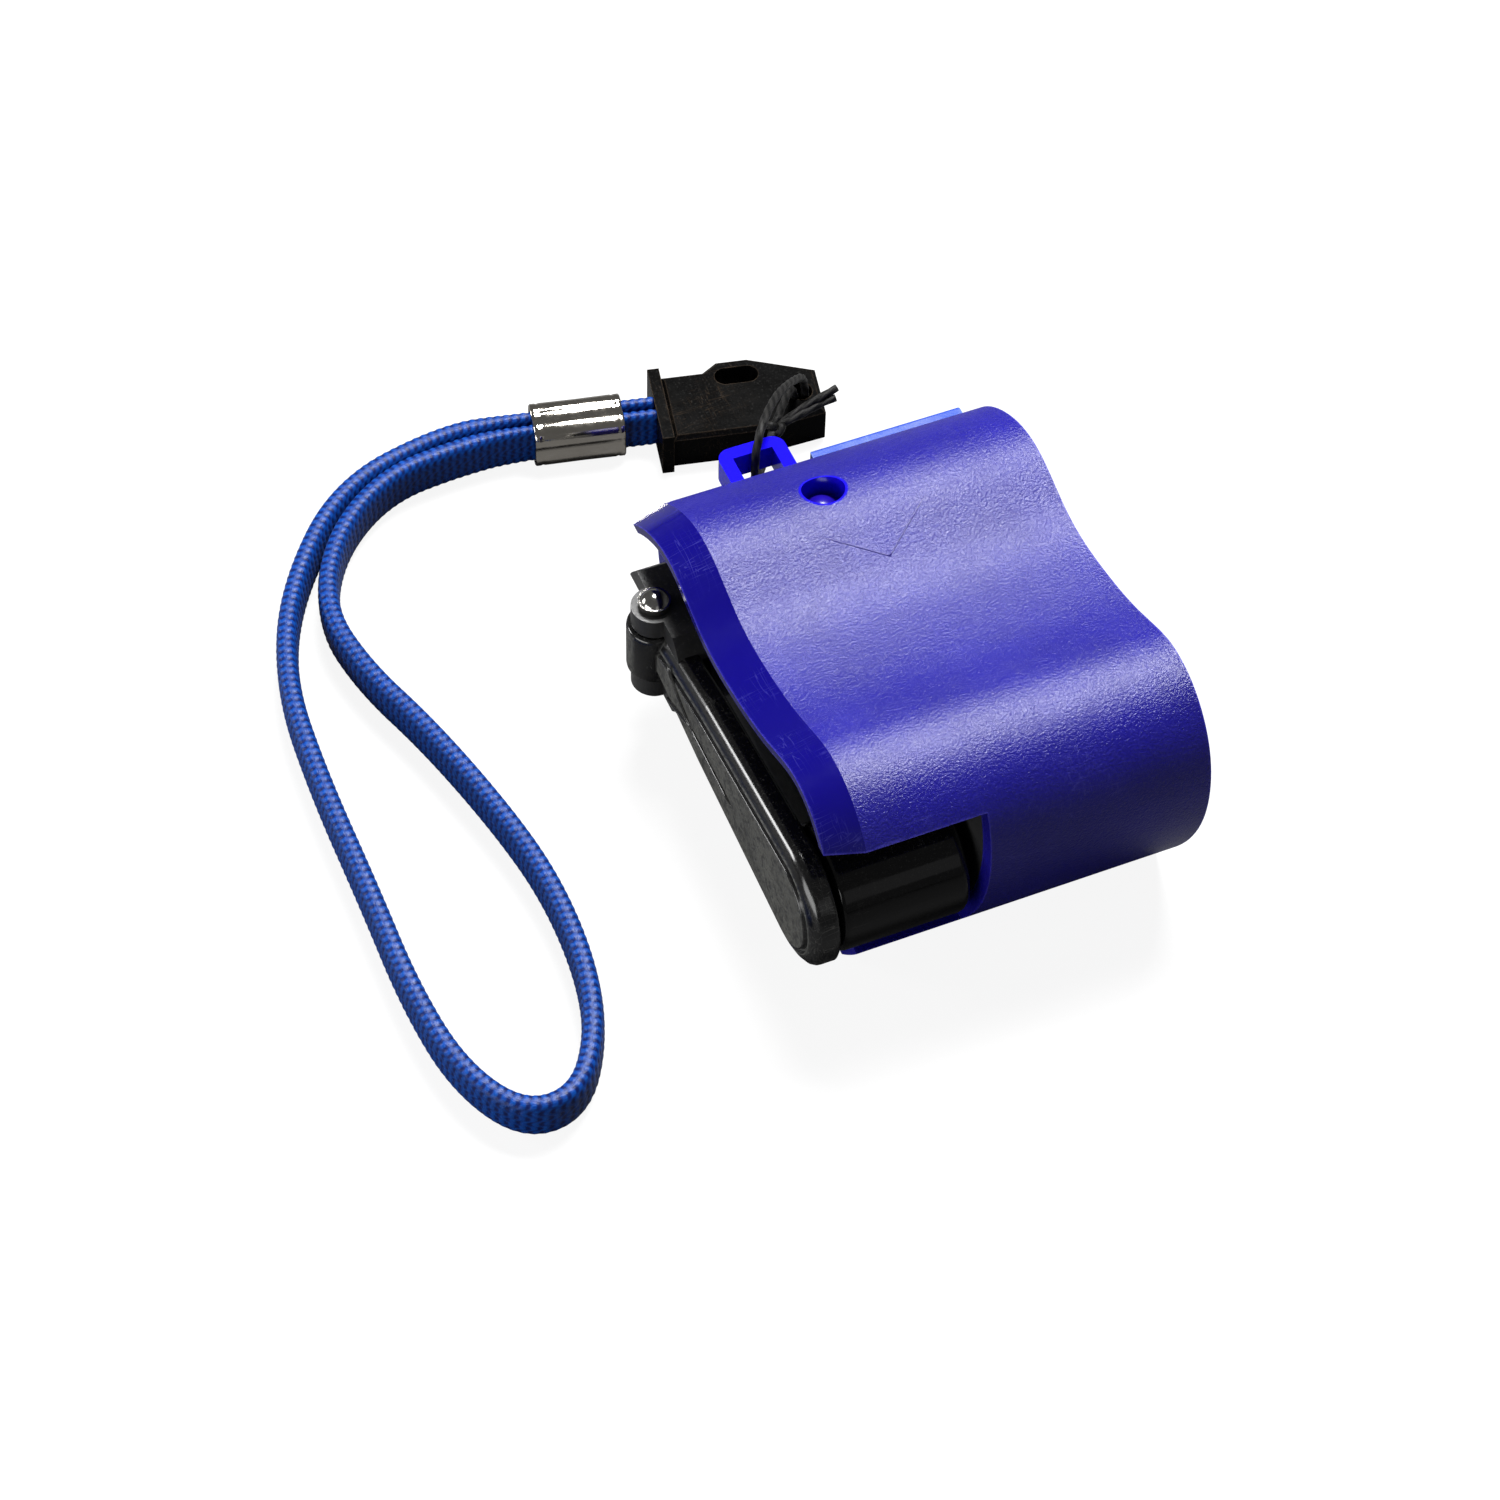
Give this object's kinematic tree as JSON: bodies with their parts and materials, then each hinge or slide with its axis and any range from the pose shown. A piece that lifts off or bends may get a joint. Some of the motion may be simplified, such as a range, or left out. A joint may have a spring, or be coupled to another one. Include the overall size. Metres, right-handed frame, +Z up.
{
  "type": "hand crank phone charger",
  "caption": "Pocket hand crank charger with a wavy two-lobed blue case, a fold-away crank, a geared generator, a USB outlet and a wrist strap on a clip.",
  "frame": {"origin": "middle of the case's width and length, on its flat underside", "axes": "+X along the case away from the crank, +Y from the tall front lobe to the back lobe with the USB socket and lug, +Z up"},
  "size_m": [0.0835, 0.0933, 0.032],
  "materials": {
    "case_blue": "frosted translucent moulding",
    "panel_blue": "clear tinted moulding",
    "black_matt": "fine-grained moulding",
    "black_gloss": "polished moulding",
    "nylon": "natural",
    "steel": "turned",
    "bush_brass": "sintered",
    "can_steel": "zinc plated",
    "magnet": "sintered ferrite",
    "copper": "enamelled copper wire",
    "board_green": "solder mask",
    "socket_steel": "nickel plated",
    "led_clear": "water-clear resin",
    "crimp_nickel": "bright nickel plate",
    "strap_blue": "flat braided polyester",
    "cord_black": "thin braided cord"
  },
  "bodies": {
    "case": {"upper_shell": "case_blue", "lower_shell": "case_blue", "port_panel": "panel_blue", "side_frame": "black_matt", "gearbox_frame": "black_matt", "frame_screws": "steel", "case_screws": "steel", "hub_bush": "bush_brass", "idler_axle": "steel", "generator_can": "can_steel", "generator_cap": "black_matt", "generator_magnets": "magnet", "circuit_board": "board_green", "usb_socket": "socket_steel", "usb_tongue": "black_matt", "capacitor": "black_gloss", "rectifier": "black_matt", "indicator_led": "led_clear", "tie_cord": "cord_black", "tie_knot": "cord_black", "clip_socket": "black_gloss"},
    "crank": {"crank_hub": "black_matt", "crank_shaft": "steel", "crank_gear": "nylon", "retaining_ring": "steel", "hinge_pin": "steel"},
    "arm": {"crank_arm": "black_matt", "grip_axle": "steel"},
    "grip": {"crank_grip": "black_gloss", "grip_cap": "black_gloss"},
    "idler": {"idler_gear": "nylon"},
    "rotor": {"rotor_shaft": "steel", "rotor_pinion": "nylon", "rotor_core": "can_steel", "rotor_winding": "copper"},
    "strap": {"clip_plug": "black_gloss", "strap_crimp": "crimp_nickel", "wrist_strap": "strap_blue"}
  },
  "joints": [
    {"name": "crank_spin", "type": "hinge", "parent": "case", "child": "crank", "pos_m": [-0.018, 0.015, 0.0145], "axis": [-1, 0, 0], "range_deg": [-3, 2]},
    {"name": "crank_flip", "type": "hinge", "parent": "crank", "child": "arm", "pos_m": [-0.0227, 0.015, 0.0145], "axis": [0, 0, -1], "range_deg": [0, 180]},
    {"name": "grip_spin", "type": "hinge", "parent": "arm", "child": "grip", "pos_m": [-0.0124, -0.0225, 0.0145], "axis": [-1, 0, 0], "continuous": true},
    {"name": "idler_spin", "type": "hinge", "parent": "case", "child": "idler", "pos_m": [-0.009, 0.00265, 0.0145], "axis": [-1, 0, 0], "range_deg": [-5.8, 8.6]},
    {"name": "rotor_spin", "type": "hinge", "parent": "case", "child": "rotor", "pos_m": [0.004, -0.00775, 0.0145], "axis": [-1, 0, 0], "range_deg": [-25.6, 17.2]},
    {"name": "clip_release", "type": "slide", "parent": "case", "child": "strap", "axis": [-0.9759, 0.2181, 0], "range_m": [0, 0.008]}
  ],
  "couplings": [
    {"joint": "idler_spin", "follows": "crank_spin", "ratio": -2.8},
    {"joint": "rotor_spin", "follows": "crank_spin", "ratio": 8.4}
  ]
}
